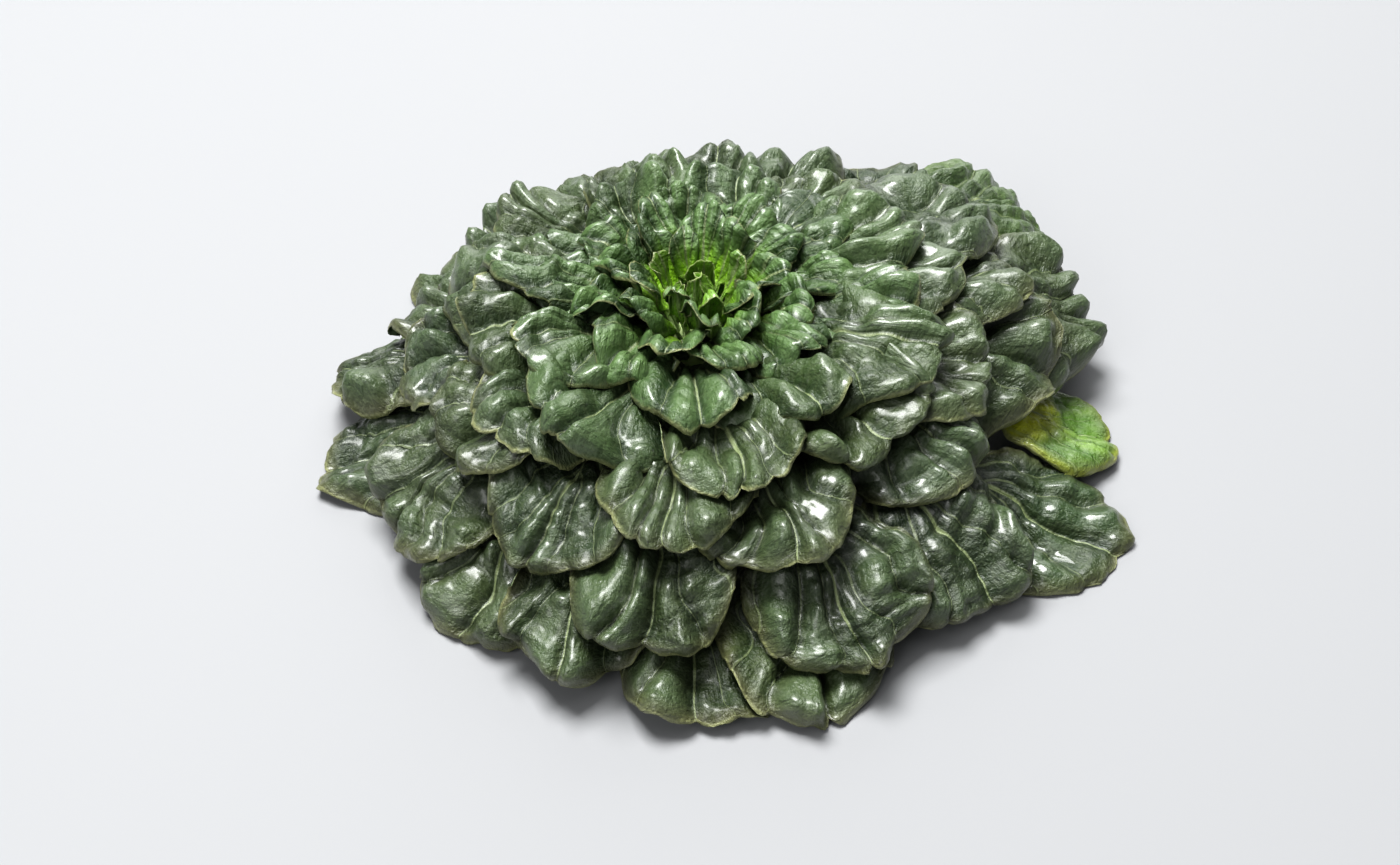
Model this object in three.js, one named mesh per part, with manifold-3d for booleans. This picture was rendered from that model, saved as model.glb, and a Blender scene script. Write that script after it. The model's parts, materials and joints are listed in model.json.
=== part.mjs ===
// A head of tatsoi: a low rosette of spoon-shaped leaves round a short crown, as cut from the ground.
// Millimetres, +Z up. The origin is the middle of the crown's cut face, which rests on the table.
// Every leaf has a profile of its own, running out from the crown and down at the tip. The profiles
// nest, oldest and widest lowest, so leaves that pass over each other never touch.
import * as THREE from "three";
import { mergeVertices } from "three/addons/utils/BufferGeometryUtils.js";
import Module from "manifold-3d";

// The whole head
const LEAF_COUNT = 90; // from the oldest, outermost leaf to the youngest one in the heart
const SEPARATE_LEAVES = 57; // these are parts of their own, and the rest grow together as the heart
const GOLDEN_ANGLE = 137.508; // degrees from one leaf to the next
const FIRST_AZIMUTH = -97; // degrees, of the oldest leaf
const REACH = { oldest: 132, youngest: 12 }; // tip to axis, seen from above
// The head spreads further on some sides: azimuth and spread in degrees, amount as a share of the radius.
const SPREADS = [
  { azimuth: 15, spread: 42, amount: 0.14 },
  { azimuth: -65, spread: 50, amount: 0.1 },
  { azimuth: -128, spread: 30, amount: 0.06 },
  { azimuth: 118, spread: 45, amount: -0.06 },
];
const SPREAD_FROM = 20; // the radius where that starts, and where leaves start to turn aside
const SPREAD_TO = 70; // and where both are in full
const DOME = { height: 76, radius: 141, power: 2.3 }; // the tips lie on this dome
const LOWEST_TIP = 1.6; // height of the lowest leaf tips above the table
// Leaves that stray from the pattern: turn and tipAngle in degrees, reach as a factor, tip as a height.
const STRAYS = {
  0: { turn: 7, reach: .945, tip: 5 },
  1: { turn: 11, reach: 1.08, tip: 14 },
  2: { turn: 14, reach: 1.03 },
  3: { turn: 20, reach: 1.07, tip: 1.6 },
  4: { tip: 4 },
  5: { turn: 2, reach: .985, tip: 12 },
  6: { turn: -13, reach: 1.05, size: .76, tip: 6 }, // the yellowing leaf
  7: { tip: 4 },
  8: { turn: 6, reach: 1.045, tip: 6 },
  9: { turn: -25, reach: 1.2, tip: 26 },
  10: { turn: -22, reach: 1.09 },
  11: { turn: -18, reach: 1.09 },
  12: { tip: 9 },
  13: { turn: 0, reach: 1.045, tip: 14 },
  14: { turn: -16, reach: 1.16, tip: 22 },
  15: { tip: 27 },
  16: { turn: -8, reach: 1.115 },
  18: { turn: -6, reach: 1.13 },
  21: { turn: -8, reach: 1.12 },
  26: { reach: 1.06 },
  29: { turn: -3, reach: 1.035 },
  31: { turn: 7, reach: 1.06 },
  34: { turn: 7 },
  35: { reach: 1.23, tip: 49.6, tipAngle: -30 }, // stands clear of its neighbours
};
const YELLOW_LEAF = 6;
const FIRST_MIDDLE_LEAF = 19;
const FIRST_INNER_LEAF = 38;

// The crown, a short cone that the leaves leave one above the other
const CROWN = { footRadius: 13, radius: 15.2, topRadius: 7, height: 44, lowestLeaf: 3.4 };
const CROWN_SIDES = 24;
const STEM_TIP = { shoulder: 4, point: 6 }; // heights above the crown's nominal top
const PART_GAP = 0.3; // between touching parts
const HEART_ROOT = 3; // how deep a heart leaf is rooted in the stem's tip
const HEART_LIFT = 0.1; // keeps the heart's lowest leaves off the last separate ones

// A leaf: a stalk that opens into a round blade
// Blades widen with reach towards a full width, at the pace that growth sets.
const BLADE = { width: 53, growth: 42, growthPower: 1.4, lengthRatio: 1.08, lengthExtra: 2 };
const LONGEST_BLADE = 0.86; // of the leaf's length
const SIZE_SCATTER = 0.07;
const TURN_SCATTER = 4; // degrees
const BLADE_WIDEST = 0.56; // where the blade is widest, as a share of its length
const FLARE = 0.75; // below 1, the blade opens early from the neck
const SHOULDER = 1.3; // above 1, its rim starts off square to the midrib
const STALK = { baseWidth: 6.4, neckWidth: 6, baseThickness: 2, neckThickness: 1.4 };
const THINNEST = 0.5; // a small leaf's stalk is this share as thick as a full-grown one's
const BLADE_THICKNESS = 0.5;
const START_ANGLE = { oldest: 8, youngest: 84, power: 0.7 }; // of the stalk at the crown, degrees
// The slope of a leaf's tip, as [youth, degrees]
const TIP_ANGLE = [[0, -18], [0.12, -42], [0.35, -34], [0.6, -34], [0.8, -46], [0.93, -15], [1, 65]];
const HANDLE = 0.38; // how far a profile keeps its end directions, as a share of its chord

// The grid of a leaf: bladeRows are shares of the way from the neck to the rim
const GRID = { stalkRows: 2, bladeRows: [0.12, 0.3, 0.55, 0.8, 1], columns: 4 };
const HEART_GRID = { stalkRows: 1, bladeRows: [0.3, 0.65, 1], columns: 2 };
const FINEST = 0.06; // details of the heart's joins below this size are dropped

const COLOURS = { old: 0x2c4331, young: 0x4f7a24, yellow: 0xb9c02a, crown: 0xc9d3a0 };

const toRadians = THREE.MathUtils.degToRad;
const mix = THREE.MathUtils.lerp;

// A repeatable spread of numbers from -1 to 1, one for each leaf and use.
function scatter(leaf, use) {
  const wave = Math.sin(leaf * 12.9898 + use * 78.233) * 43758.5453;
  return 2 * (wave - Math.floor(wave)) - 1;
}

// The value at x on a line through the given [x, y] points.
function onLine(points, x) {
  const next = Math.max(1, points.findIndex(([at]) => at >= x));
  const [[x0, y0], [x1, y1]] = [points[next - 1], points[next]];
  return mix(y0, y1, (x - x0) / (x1 - x0));
}

function domeHeight(radius) {
  return DOME.height * (1 - Math.pow(Math.min(radius / DOME.radius, 1), DOME.power));
}

function crownRadiusAt(height) {
  return mix(CROWN.radius, CROWN.topRadius, height / CROWN.height);
}

// Where one leaf grows, how far it reaches and how large it is. Its youth is 0 for the oldest leaf, 1 for
// the youngest, and a joined leaf is part of the heart.
function leafPlan(leaf) {
  const joined = leaf >= SEPARATE_LEAVES;
  const youth = mix(joined ? HEART_LIFT : 0, 1, leaf / (LEAF_COUNT - 1));
  const stray = STRAYS[leaf] ?? {};
  const usualReach = mix(REACH.oldest, REACH.youngest, youth);
  const reach = usualReach * (stray.reach ?? 1);
  const width = BLADE.width * (1 - Math.exp(-Math.pow(usualReach / BLADE.growth, BLADE.growthPower)));
  const size = stray.size ?? 1 + SIZE_SCATTER * scatter(leaf, 2);
  return {
    youth,
    azimuth: toRadians(FIRST_AZIMUTH + leaf * GOLDEN_ANGLE),
    turn: toRadians(stray.turn ?? TURN_SCATTER * scatter(leaf, 1)),
    reach,
    tipHeight: stray.tip ?? Math.max(LOWEST_TIP, domeHeight(reach)),
    tipAngle: stray.tipAngle ?? onLine(TIP_ANGLE, youth),
    crownHeight: mix(CROWN.lowestLeaf, CROWN.height, youth),
    width: width * size,
    length: (width * BLADE.lengthRatio + BLADE.lengthExtra) * size,
    size: width / BLADE.width,
    joined,
  };
}

// How much further out a point of the head lies than it would in an even rosette.
function spreadAt(angle, radius) {
  let further = 0;
  for (const { azimuth, spread, amount } of SPREADS) {
    const turn = angle - toRadians(azimuth);
    const away = Math.atan2(Math.sin(turn), Math.cos(turn)) / toRadians(spread);
    further += amount * Math.exp(-away * away);
  }
  return 1 + further * THREE.MathUtils.smoothstep(radius, SPREAD_FROM, SPREAD_TO);
}

// The midrib's line in the upright plane through the axis: x is the distance from the axis, y the height.
function profileOf(plan) {
  const clear = plan.joined ? -HEART_ROOT : PART_GAP + STALK.baseThickness / 2;
  const start = new THREE.Vector2(crownRadiusAt(plan.crownHeight) + clear, plan.crownHeight);
  const tip = new THREE.Vector2(plan.reach, plan.tipHeight);
  const handle = HANDLE * start.distanceTo(tip);
  const startAngle = mix(START_ANGLE.oldest, START_ANGLE.youngest, Math.pow(plan.youth, START_ANGLE.power));
  const away = (angle, length) =>
    new THREE.Vector2(Math.cos(toRadians(angle)), Math.sin(toRadians(angle))).multiplyScalar(length);
  return new THREE.CubicBezierCurve(
    start,
    start.clone().add(away(startAngle, handle)),
    tip.clone().sub(away(plan.tipAngle, handle)),
    tip,
  );
}

// The leaf's rows of points laid flat: across is off the midrib, along is from the crown.
function flatRows(plan, length, grid) {
  const blade = Math.min(plan.length, LONGEST_BLADE * length);
  const neck = length - blade;
  const base = (STALK.baseWidth / 2) * plan.size;
  const narrow = (STALK.neckWidth / 2) * plan.size;
  const rows = [];
  for (let row = 0; row <= grid.stalkRows; row++) {
    const share = row / grid.stalkRows;
    const half = mix(base, narrow, share);
    const thickness = mix(STALK.baseThickness, STALK.neckThickness, share) * mix(THINNEST, 1, plan.size);
    rows.push({ half, edge: neck * share, middle: neck * share, bend: 0, thickness });
  }
  for (const share of grid.bladeRows) {
    const flare = Math.sin((Math.PI / 2) * Math.pow(share, FLARE));
    rows.push({
      half: mix(narrow, plan.width / 2, flare),
      edge: neck + blade * BLADE_WIDEST * Math.pow(share, SHOULDER),
      middle: neck + blade * share,
      bend: (share * Math.PI) / 2,
      thickness: BLADE_THICKNESS,
    });
  }
  return rows;
}

// A point of a row, as [across, along]: the row is an arc that ends as the blade's rounded rim.
function flatPoint(row, across) {
  if (row.bend === 0) return [row.half * across, row.edge];
  const turn = across * row.bend;
  const forward = (Math.cos(turn) - Math.cos(row.bend)) / (1 - Math.cos(row.bend));
  return [(row.half * Math.sin(turn)) / Math.sin(row.bend), mix(row.edge, row.middle, forward)];
}

// Two skins of rows x columns points, closed round their edge.
function closedSheet(upper, lower) {
  const rows = upper.length;
  const columns = upper[0].length;
  const positions = [...upper.flat(), ...lower.flat()].flatMap((p) => p.toArray());
  const top = (row, column) => row * columns + column;
  const under = (row, column) => top(row, column) + rows * columns;
  const faces = [];
  const quad = (a, b, c, d) => faces.push(a, b, c, a, c, d);
  for (let r = 0; r < rows - 1; r++) {
    for (let c = 0; c < columns - 1; c++) {
      quad(top(r, c), top(r, c + 1), top(r + 1, c + 1), top(r + 1, c));
      quad(under(r, c), under(r + 1, c), under(r + 1, c + 1), under(r, c + 1));
    }
    quad(top(r, 0), top(r + 1, 0), under(r + 1, 0), under(r, 0));
    const c = columns - 1;
    quad(top(r + 1, c), top(r, c), under(r, c), under(r + 1, c));
  }
  for (let c = 0; c < columns - 1; c++) {
    quad(top(0, c + 1), top(0, c), under(0, c), under(0, c + 1));
    const r = rows - 1;
    quad(top(r, c), top(r, c + 1), under(r, c + 1), under(r, c));
  }
  const geometry = new THREE.BufferGeometry();
  geometry.setAttribute("position", new THREE.Float32BufferAttribute(positions, 3));
  geometry.setIndex(faces);
  return geometry;
}

// One leaf, wrapped round the axis on its profile. Columns run clockwise from above, so faces point out.
function leafGeometry(plan, grid) {
  const profile = profileOf(plan);
  const length = profile.getLength();
  const upper = [];
  const lower = [];
  for (const row of flatRows(plan, length, grid)) {
    const above = [];
    const below = [];
    for (let column = 0; column <= grid.columns; column++) {
      const [across, along] = flatPoint(row, 1 - (2 * column) / grid.columns);
      const share = Math.min(along / length, 1);
      const at = profile.getPointAt(share);
      const tangent = profile.getTangentAt(share);
      const turned = plan.turn * THREE.MathUtils.smoothstep(at.x, SPREAD_FROM, SPREAD_TO);
      const angle = plan.azimuth + turned + across / at.x;
      const place = (side) => {
        const radius = at.x - (side * tangent.y * row.thickness) / 2;
        const height = at.y + (side * tangent.x * row.thickness) / 2;
        const out = radius * spreadAt(angle, radius);
        return new THREE.Vector3(out * Math.cos(angle), out * Math.sin(angle), height);
      };
      above.push(place(1));
      below.push(place(-1));
    }
    upper.push(above);
    lower.push(below);
  }
  return closedSheet(upper, lower);
}

function lathe(profile) {
  const turned = new THREE.LatheGeometry(profile.map(([r, z]) => new THREE.Vector2(r, z)), CROWN_SIDES);
  return turned.rotateX(Math.PI / 2);
}

function crownGeometry(top) {
  return lathe([
    [0, 0],
    [CROWN.footRadius, 0],
    [crownRadiusAt(CROWN.lowestLeaf), CROWN.lowestLeaf],
    [crownRadiusAt(top), top],
    [0, top],
  ]);
}

// The growing tip of the stem, over the crown.
function tipGeometry(bottom) {
  return lathe([
    [0, bottom],
    [crownRadiusAt(bottom), bottom],
    [CROWN.topRadius, CROWN.height],
    [CROWN.topRadius / 2, CROWN.height + STEM_TIP.shoulder],
    [0, CROWN.height + STEM_TIP.point],
  ]);
}

const wasm = await Module();
wasm.setup();

function toSolid(geometry) {
  const bare = geometry.index ? geometry.toNonIndexed() : geometry.clone();
  bare.deleteAttribute("normal");
  bare.deleteAttribute("uv");
  const merged = mergeVertices(bare, 1e-3);
  const vertProperties = merged.attributes.position.array;
  const triVerts = new Uint32Array(merged.index.array);
  return new wasm.Manifold(new wasm.Mesh({ numProp: 3, vertProperties, triVerts }));
}

function toGeometry(solid) {
  const mesh = solid.getMesh();
  const geometry = new THREE.BufferGeometry();
  geometry.setAttribute("position", new THREE.BufferAttribute(new Float32Array(mesh.vertProperties), 3));
  geometry.setIndex(new THREE.BufferAttribute(mesh.triVerts, 1));
  return geometry;
}

function material(colour, roughness) {
  return new THREE.MeshStandardMaterial({ color: colour, roughness, metalness: 0, side: THREE.DoubleSide });
}

function named(name, geometry, finish) {
  const mesh = new THREE.Mesh(geometry, finish);
  mesh.name = name;
  return mesh;
}

function leafName(leaf) {
  const ring = leaf < FIRST_MIDDLE_LEAF ? "outer" : leaf < FIRST_INNER_LEAF ? "middle" : "inner";
  return ring + "_leaf_" + String(leaf + 1).padStart(2, "0");
}

const rosette = new THREE.Group();
const crownTop = leafPlan(SEPARATE_LEAVES).crownHeight - 2 * PART_GAP;
rosette.add(named("crown", crownGeometry(crownTop), material(COLOURS.crown, 0.6)));

const oldColour = new THREE.Color(COLOURS.old);
const youngColour = new THREE.Color(COLOURS.young);
for (let leaf = 0; leaf < SEPARATE_LEAVES; leaf++) {
  const plan = leafPlan(leaf);
  const green = oldColour.clone().lerp(youngColour, plan.youth * plan.youth);
  const colour = leaf === YELLOW_LEAF ? COLOURS.yellow : green;
  rosette.add(named(leafName(leaf), leafGeometry(plan, GRID), material(colour, 0.4)));
}

let heart = toSolid(tipGeometry(crownTop + PART_GAP));
for (let leaf = SEPARATE_LEAVES; leaf < LEAF_COUNT; leaf++) {
  heart = heart.add(toSolid(leafGeometry(leafPlan(leaf), HEART_GRID)));
}
const [outside] = heart.decompose().sort((a, b) => b.volume() - a.volume()); // without sealed pockets
rosette.add(named("heart_rosette", toGeometry(outside.simplify(FINEST)), material(COLOURS.young, 0.45)));

export default rosette;
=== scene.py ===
import json
import math

import bpy
import numpy as np
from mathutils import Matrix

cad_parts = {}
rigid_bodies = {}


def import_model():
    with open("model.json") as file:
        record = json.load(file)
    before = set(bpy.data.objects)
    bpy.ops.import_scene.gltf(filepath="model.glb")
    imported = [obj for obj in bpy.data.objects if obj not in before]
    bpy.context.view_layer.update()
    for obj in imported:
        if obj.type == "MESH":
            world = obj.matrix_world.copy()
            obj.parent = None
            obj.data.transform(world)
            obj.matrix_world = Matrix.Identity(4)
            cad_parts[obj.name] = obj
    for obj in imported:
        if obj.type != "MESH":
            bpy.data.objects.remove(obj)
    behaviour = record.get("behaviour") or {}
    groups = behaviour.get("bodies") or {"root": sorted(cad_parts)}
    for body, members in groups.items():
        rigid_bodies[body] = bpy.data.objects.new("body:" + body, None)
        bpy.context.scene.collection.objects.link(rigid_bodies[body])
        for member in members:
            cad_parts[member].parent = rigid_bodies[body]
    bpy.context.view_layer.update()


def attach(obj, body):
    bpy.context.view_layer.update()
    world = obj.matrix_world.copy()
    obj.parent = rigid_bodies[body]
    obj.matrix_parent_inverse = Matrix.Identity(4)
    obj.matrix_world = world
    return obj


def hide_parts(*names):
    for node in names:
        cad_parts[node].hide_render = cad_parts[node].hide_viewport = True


# A head of tatsoi. Lengths are in millimetres until a mesh is made, and angles in degrees.
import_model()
mm = 0.001

rosette = {
    "leaves": 90,  # from the oldest to the youngest
    "separate": 57,  # each of these stands for a solid of its own, and the rest for the heart
    "goldenAngle": 137.508,
    "firstAzimuth": -97.0,
    "oldestReach": 132.0,
    "youngestReach": 12.0,
    "domeHeight": 76.0,
    "domeRadius": 141.0,
    "domePower": 2.3,
    "lowestTip": 1.6,
    "crownHeight": 44.0,
    "lowestLeaf": 3.4,
    "crownRadius": 15.2,
    "crownTopRadius": 7.0,
    "heartLift": 0.1,
    "heartIn": 7.0,  # how much shorter the youngest leaves reach
    "heartDown": 6.0,  # and how much lower they end
    "reachVaries": 0.045,
    "sizeVaries": 0.09,
    "turnVaries": (4.0, 9.0),  # oldest, youngest
    "spreads": [  # azimuth, spread and amount of each side that reaches further or less far
        (15, 42, 0.14),
        (-65, 50, 0.1),
        (-128, 30, 0.06),
        (118, 45, -0.06),
        (85, 45, -0.05),
    ],
    "spreadFrom": 20.0,  # distances from the axis between which the spread sets in
    "spreadTo": 70.0,
}
# the leaf after the last one of each ring
rings = {"outer": 19, "middle": 38, "inner": rosette["separate"], "heart": rosette["leaves"]}

# Leaves that differ from the spiral: turn and tipAngle are angles, tip is a height, reach, size and calm
# are shares of the usual, and calm is that of the relief.
strays = {
    0: {"turn": 7, "reach": 0.945, "tip": 5, "calm": 0.8},
    1: {"turn": 11, "reach": 1.08, "tip": 14, "calm": 0.5},
    2: {"turn": 14, "reach": 1.03, "calm": 0.6},
    3: {"turn": 20, "reach": 1.07, "tip": 1.6, "calm": 0.75},
    4: {"tip": 4},
    5: {"turn": 2, "reach": 0.985, "tip": 12},
    6: {"turn": -13, "reach": 1.05, "size": 0.76, "tip": 6, "calm": 0.45},
    7: {"tip": 4},
    8: {"turn": 6, "reach": 1.045, "tip": 6},
    9: {"turn": -25, "reach": 1.2, "tip": 26, "calm": 0.5},
    10: {"turn": -22, "reach": 1.09},
    11: {"turn": -18, "reach": 1.09},
    12: {"tip": 9},
    13: {"turn": 0, "reach": 1.045, "tip": 14},
    14: {"turn": -16, "reach": 1.16, "tip": 22},
    15: {"tip": 27},
    16: {"turn": -8, "reach": 1.115},
    18: {"turn": -6, "reach": 1.13},
    21: {"turn": -8, "reach": 1.12},
    26: {"reach": 1.06},
    29: {"turn": -3, "reach": 1.035},
    31: {"turn": 7, "reach": 1.06},
    34: {"turn": 7},
    35: {"reach": 1.23, "tip": 49.6, "tipAngle": -30, "calm": 0.6},  # stands clear of its neighbours
}

# leaves with a look of their own
yellowLeaf = 6
paleLeaf = 9
glossyLeaf = 3


def scatter(leaf, use):
    # a repeatable number from -1 to 1 for each leaf and use, from the fraction of a large sine
    wave = math.sin(leaf * 12.9898 + use * 78.233) * 43758.5453
    return 2 * (wave - math.floor(wave)) - 1


def smooth(x, low, high):
    # 0 below low, 1 above high, and the cubic 3s^2 - 2s^3 between
    s = np.clip((x - low) / (high - low), 0, 1)
    return s * s * (3 - 2 * s)


def mix(a, b, share):
    # a at 0, b at 1, and a straight line between
    return a + (b - a) * share


def crownRadiusAt(height):
    # the crown is a cone that narrows upwards
    return mix(rosette["crownRadius"], rosette["crownTopRadius"], height / rosette["crownHeight"])


leafShape = {
    "width": 53.0,  # of the largest blades
    "growth": 42.0,  # distance from the axis over which leaves grow to that width
    "growthPower": 1.4,
    "lengthRatio": 1.08,  # length is width times this, and the extra
    "lengthExtra": 2.0,
    "widest": 0.56,  # height of the blade's widest place, as a share of its length
    "stalkBase": 8.0,  # widths of the stalk at the crown and where the blade starts
    "stalkNeck": 5.0,
    "stalkThick": 2.4,
    "neckThick": 1.5,
    "bladeThick": 0.45,
    "rimThick": 0.25,
    "ribThick": 1.3,  # the midrib under the foot of the blade
    "stalkDepth": 1.0,  # how deep a stalk starts in the crown
    "heartDepth": 3.0,  # and in the heart
    "mostBlade": 0.86,  # the blade's largest share of the whole leaf
    "startAngle": (8.0, 84.0, 0.7),  # oldest, youngest, power
    "tipAngle": [  # youth and angle
        (0, -18),
        (0.12, -42),
        (0.3, -36),
        (0.5, -18),
        (0.65, 8),
        (0.8, 24),
        (0.92, 62),
        (1, 100),
    ],
    "tipAngleVaries": 11.0,
    "smallest": (9.0, 18.0),  # width and length of the youngest leaf
    "narrower": 0.32,  # how much the youngest leaves lose of that width to their rolled sides
    "handle": 0.38,
    "further": 4.0,  # the rolled rim takes up this much
    "wrap": 1.25,  # how much flatter than the rosette's own curve a blade lies round the axis
    "cell": 1.05,  # size of the mesh's quads
    "columns": (14, 56),  # fewest and most
    "rows": (12, 50),
    "stalkRows": 9,
}


def planLeaf(leaf):
    # where a leaf grows, how far it reaches and how large it is
    heart = leaf >= rosette["separate"]
    youth = mix(rosette["heartLift"] if heart else 0, 1, leaf / (rosette["leaves"] - 1))
    stray = strays.get(leaf, {})
    usual = mix(rosette["oldestReach"], rosette["youngestReach"], youth)
    reach = usual * stray.get("reach", 1 + rosette["reachVaries"] * scatter(leaf, 9))
    reach = reach - rosette["heartIn"] * smooth(youth, 0.85, 1)
    dome = rosette["domeHeight"] * (1 - min(reach / rosette["domeRadius"], 1) ** rosette["domePower"])
    grown = 1 - math.exp(-((usual / leafShape["growth"]) ** leafShape["growthPower"]))
    width = max(leafShape["width"] * grown, leafShape["smallest"][0])
    length = max(width * leafShape["lengthRatio"] + leafShape["lengthExtra"], leafShape["smallest"][1])
    size = stray.get("size", 1 + rosette["sizeVaries"] * scatter(leaf, 2))
    turn = mix(*rosette["turnVaries"], smooth(youth, 0.2, 0.6)) * scatter(leaf, 1)
    heartDown = rosette["heartDown"] * smooth(youth, 0.88, 1) * (1 + 0.7 * scatter(leaf, 10))
    ages, angles = zip(*leafShape["tipAngle"])
    tipAngle = np.interp(youth, ages, angles) + leafShape["tipAngleVaries"] * scatter(leaf, 8)
    return {
        "leaf": leaf,
        "heart": heart,
        "youth": youth,
        "azimuth": math.radians(rosette["firstAzimuth"] + leaf * rosette["goldenAngle"]),
        "turn": math.radians(stray.get("turn", turn)),
        "reach": reach,
        "tipHeight": stray.get("tip", max(rosette["lowestTip"], dome) - heartDown),
        "tipAngle": math.radians(stray.get("tipAngle", tipAngle)),
        "crownHeight": mix(rosette["lowestLeaf"], rosette["crownHeight"], youth),
        "width": width * size * (1 - leafShape["narrower"] * smooth(youth, 0.55, 0.85)),
        "length": length * size,
        "size": width * size / leafShape["width"],
        "calm": stray.get("calm", 1),
    }


def profileOf(plan):
    # a cubic Bezier from the crown to the tip, in distance from the axis and height, by its own length
    depth = leafShape["heartDepth"] if plan["heart"] else leafShape["stalkDepth"]
    start = np.array([crownRadiusAt(plan["crownHeight"]) - depth, plan["crownHeight"]])
    tip = np.array([plan["reach"], plan["tipHeight"]])
    handle = leafShape["handle"] * np.linalg.norm(tip - start)
    oldest, youngest, power = leafShape["startAngle"]
    startAngle = math.radians(mix(oldest, youngest, plan["youth"] ** power))
    second = start + handle * np.array([math.cos(startAngle), math.sin(startAngle)])
    outward = np.array([math.cos(plan["tipAngle"]), math.sin(plan["tipAngle"])])
    third = tip - handle * outward
    u = np.linspace(0, 1, 200)[:, None]
    v = 1 - u
    curve = v**3 * start + 3 * v**2 * u * second + 3 * v * u**2 * third + u**3 * tip
    curve = np.concatenate([curve, [tip + leafShape["further"] * plan["size"] * outward]])
    step = np.gradient(curve, axis=0)
    along = np.concatenate([[0], np.cumsum(np.linalg.norm(np.diff(curve, axis=0), axis=1))])
    return along, curve[:, 0], curve[:, 1], np.arctan2(step[:, 1], step[:, 0])


def layFlat(plan, total, rng):
    # The leaf laid flat. Rows run straight over the stalk, and then as arcs that end as the rounded rim:
    # across = half sin(t bend) / sin(bend), and along goes from the row's ends to its middle by
    # (cos(t bend) - cos(bend)) / (1 - cos(bend)). t runs from side to side, s up the stalk and q up the
    # blade, and the columns crowd towards the midrib at its foot.
    blade = min(plan["length"], leafShape["mostBlade"] * total)
    neck = total - blade
    columns = int(np.clip(plan["width"] / leafShape["cell"], *leafShape["columns"])) // 2 * 2 + 1
    t = np.linspace(-1, 1, columns)[None, :]
    stalkShare = np.linspace(0, 1, leafShape["stalkRows"], endpoint=False)
    share = np.linspace(0, 1, int(np.clip(blade / leafShape["cell"], *leafShape["rows"])))
    q = np.concatenate([stalkShare * 0, share])[:, None]
    s = np.concatenate([stalkShare, share * 0 + 1])[:, None]
    t = np.sign(t) * np.abs(t) ** mix(1.45, 1, q)
    base = leafShape["stalkBase"] / 2 * plan["size"]
    narrow = leafShape["stalkNeck"] / 2 * plan["size"]
    flare = np.sin(np.pi / 2 * q**0.8)
    half = mix(mix(base, narrow, s), plan["width"] / 2, flare)
    edge = neck * s + blade * leafShape["widest"] * q**1.3
    middle = neck * s + blade * q
    bend = np.maximum(q * np.pi / 2, 1e-4)
    forward = (np.cos(t * bend) - np.cos(bend)) / (1 - np.cos(bend))
    return {
        "t": t,
        "q": q + 0 * t,
        **layVeins(t, q, plan, rng),
        "stalk": s + 0 * t,
        "across": half * np.sin(t * bend) / np.sin(bend),
        "along": mix(edge, middle, forward),
        "half": half + 0 * t,
        "blade": blade,
    }


def layVeins(t, q, plan, rng):
    # fan is 0 on the midrib and a whole number on each side vein. The outermost vein leaves the midrib
    # at the foot of the blade, and the others above it: side = end s^bend, with s from 0 where it leaves
    # to 1 at the rim.
    pairs = 3
    if plan["size"] < 0.6:
        pairs = 2
    elif plan["size"] > 0.8:
        pairs = int(rng.integers(2, 4))
    fan = 0
    for sign in (-1, 1):
        ends = (np.arange(1, pairs + 1) + rng.uniform(-0.25, 0.25, pairs)) / (pairs + 0.5)
        leaves = np.maximum(0.14 * (np.arange(pairs, 0, -1) - 1 + rng.uniform(-0.4, 0.4, pairs)), 0)
        places = [0 * q]
        for end, low in zip(ends, leaves):
            s = np.clip((q - low) / (1 - low), 0, 1)
            places.append(end * s ** min(0.5, 2.5 * low))
        places.append(0 * q + 1)
        for step, (inner, outer) in enumerate(zip(places, places[1:])):
            share = np.clip((sign * t - inner) / np.maximum(outer - inner, 0.01), 0, 1)
            fan = fan + sign * share * (1 if step < pairs else 0.5)
    return {"fan": fan, "pairs": pairs}


relief = {
    "cushion": 0.86,  # height of the ridges between the veins, as a share of their width
    "cushionLess": 16.0,  # wider ones are flatter, by half at this width
    "uneven": 0.36,  # how much that height varies
    "split": 0.13,  # height of the smaller ones that they part into at the rim, in the same way
    "stray": 0.16,  # how far the ridges and the side veins wander off their fan
    "fold": 4.8,  # height of the broad folds at the rim
    "shoulder": 0.3,  # slope up from the midrib
    "lump": 0.9,  # heights of the wrinkles, from the longest to the shortest
    "crease": 0.8,
    "dent": 0.7,
    "pucker": 0.42,
    "bubble": 0.13,
    "groove": 0.7,  # along the midrib at the foot of the blade
    "wander": 1.6,  # how far the outline strays
    "rollWidth": 8.5,  # how much of the blade rolls down at the rim
    "roll": 1.3,  # radians at the rim
    "rollYoung": 1.0,  # and how many more on young leaves
    "rollMost": 2.1,
    "scallop": 2.2,  # depth of the notches in the rim, where the veins end
    "frill": 0.45,  # height of the rim's own ripples
    "tilt": 0.35,  # steepest lean to one side
    "lift": 3.0,  # how far the end of a blade stands up or down
    "liftYoung": 4.5,  # and how much further up on young leaves
}

# lengths of the ripples that carry each kind of relief
waveLength = {
    "stray": 26,
    "uneven": 21,
    "split": 20,
    "lump": 18,
    "crease": 15,
    "dent": 10.0,
    "pucker": 6.0,
    "bubble": 4.2,
    "wander": 30,
    "frill": 8,
    "frillOut": 7,
}

lobes = np.arange(-6, 7)  # a leaf's ridges and veins draw their sizes from this many places


def ripple(x, y, length, rng, waves=6):
    # smooth noise: a sum of sine waves that run in all directions
    total = 0
    for _ in range(waves):
        angle = rng.uniform(0, 2 * np.pi)
        size = length * rng.uniform(0.75, 1.4)
        phase = rng.uniform(0, 2 * np.pi)
        total = total + np.sin(2 * np.pi * (x * np.cos(angle) + y * np.sin(angle)) / size + phase)
    return total / math.sqrt(waves)


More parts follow.
